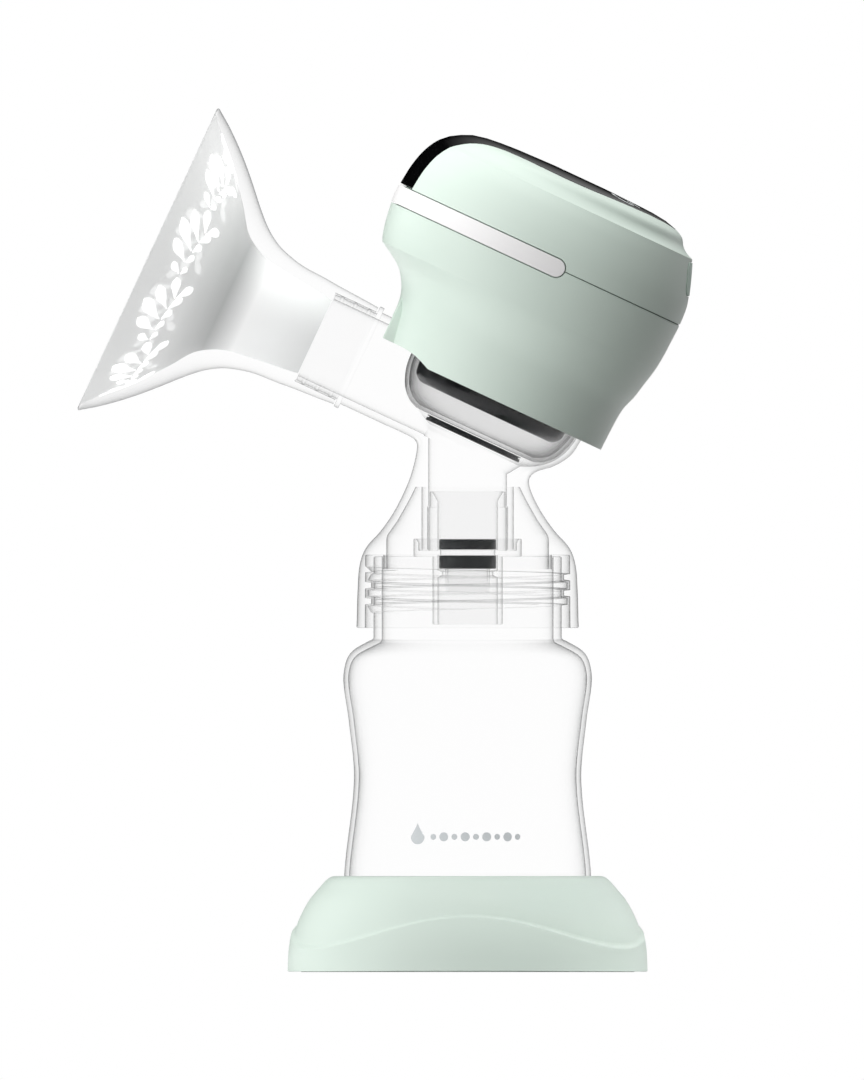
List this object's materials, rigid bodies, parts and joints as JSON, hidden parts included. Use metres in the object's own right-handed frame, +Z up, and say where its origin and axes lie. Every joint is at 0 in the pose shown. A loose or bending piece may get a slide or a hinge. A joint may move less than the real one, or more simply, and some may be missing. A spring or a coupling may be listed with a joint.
{
  "type": "breast pump",
  "caption": "Electric breast pump on a mint stand: clear bottle and tee, soft flared shield, and a tilted motor unit with a black touch panel.",
  "frame": {"origin": "centre of the stand's underside, on the bottle's axis", "axes": "+Z up along the bottle, +X towards the rear of the motor unit and away from the shield, +Y across, the object being alike on both sides"},
  "size_m": [0.1538, 0.0902, 0.2161],
  "materials": {
    "mint_abs": "satin mint ABS",
    "white_abs": "satin white ABS",
    "black_glass": "high gloss black panel",
    "clear_plastic": "clear moulded plastic",
    "clear_silicone": "clear to frosted silicone",
    "smoke_silicone": "smoky translucent silicone",
    "charcoal": "dark moulded plastic",
    "dark_rubber": "matt rubber",
    "circuit_board": "green solder mask",
    "steel": "plated steel",
    "battery_wrap": "shrink wrap",
    "copper": "copper windings"
  },
  "bodies": {
    "base": {"base_shell": "mint_abs", "base_grip_pad": "dark_rubber"},
    "bottle": {"bottle": "clear_plastic"},
    "tee": {"tee_body": "clear_plastic", "diaphragm_bowl": "smoke_silicone"},
    "shield": {"breast_shield": "clear_silicone"},
    "valve": {"valve_body": "clear_plastic", "valve_core": "dark_rubber"},
    "diaphragm": {"diaphragm_plate": "charcoal"},
    "motor_unit": {"lower_casing": "mint_abs", "upper_casing": "mint_abs", "trim_band": "white_abs", "touch_panel": "black_glass", "nozzle_plate": "charcoal", "usb_socket": "steel", "main_board": "circuit_board", "touch_board": "circuit_board", "display_module": "black_glass", "board_ribbon": "white_abs", "battery": "battery_wrap", "chassis": "white_abs", "air_tube_bowl": "clear_silicone", "air_tube_valve": "clear_silicone", "solenoid_coil": "steel", "solenoid_spring": "steel", "motor_can": "steel", "motor_cushion": "dark_rubber", "pump_head": "charcoal", "pump_membrane": "dark_rubber", "pump_cap": "charcoal", "plate_screw_1": "steel", "plate_screw_2": "steel", "plate_screw_3": "steel", "chassis_screw_1": "steel", "chassis_screw_2": "steel", "chassis_screw_3": "steel", "chassis_screw_4": "steel", "cover_screw_1": "steel", "cover_screw_2": "steel", "cover_screw_3": "steel", "cover_screw_4": "steel"},
    "rotor": {"motor_rotor": "copper"},
    "plunger": {"solenoid_plunger": "steel"},
    "port_cover": {"port_cover": "mint_abs"}
  },
  "joints": [
    {"name": "bottle_screw", "type": "hinge", "parent": "base", "child": "bottle", "pos_m": [0, 0, 0], "axis": [0, 0, -1], "range_deg": [0, 1080]},
    {"name": "tee_lift", "type": "slide", "parent": "base", "child": "tee", "axis": [0, 0, 1], "range_m": [0, 0.012]},
    {"name": "shield_pull", "type": "slide", "parent": "tee", "child": "shield", "axis": [-0.9063, 0, 0.4226], "range_m": [0, 0.025]},
    {"name": "motor_unit_lift", "type": "slide", "parent": "tee", "child": "motor_unit", "axis": [0.4226, 0, 0.9063], "range_m": [0, 0.04]},
    {"name": "valve_pull", "type": "slide", "parent": "tee", "child": "valve", "axis": [0, 0, -1], "range_m": [0, 0.016]},
    {"name": "diaphragm_stroke", "type": "slide", "parent": "tee", "child": "diaphragm", "axis": [0.4226, 0, 0.9063], "range_m": [0, 0.0045], "stiffness_N_per_m": 150, "deforming": ["diaphragm_bowl"]},
    {"name": "motor_spin", "type": "hinge", "parent": "motor_unit", "child": "rotor", "pos_m": [0.01268, -0.01, 0.16819], "axis": [0.9063, 0, -0.4226], "continuous": true},
    {"name": "release_valve_stroke", "type": "slide", "parent": "motor_unit", "child": "plunger", "axis": [0.4226, 0, 0.9063], "range_m": [0, 0.0015], "stiffness_N_per_m": 200, "springref_m": -0.002, "deforming": ["solenoid_spring"]},
    {"name": "port_cover_hinge", "type": "hinge", "parent": "motor_unit", "child": "port_cover", "pos_m": [0.05516, 0, 0.1689], "axis": [0, 1, 0], "range_deg": [0, 110]}
  ],
  "couplings": [
    {"joint": "tee_lift", "follows": "bottle_screw", "m_per_rad": 0.00063661}
  ]
}
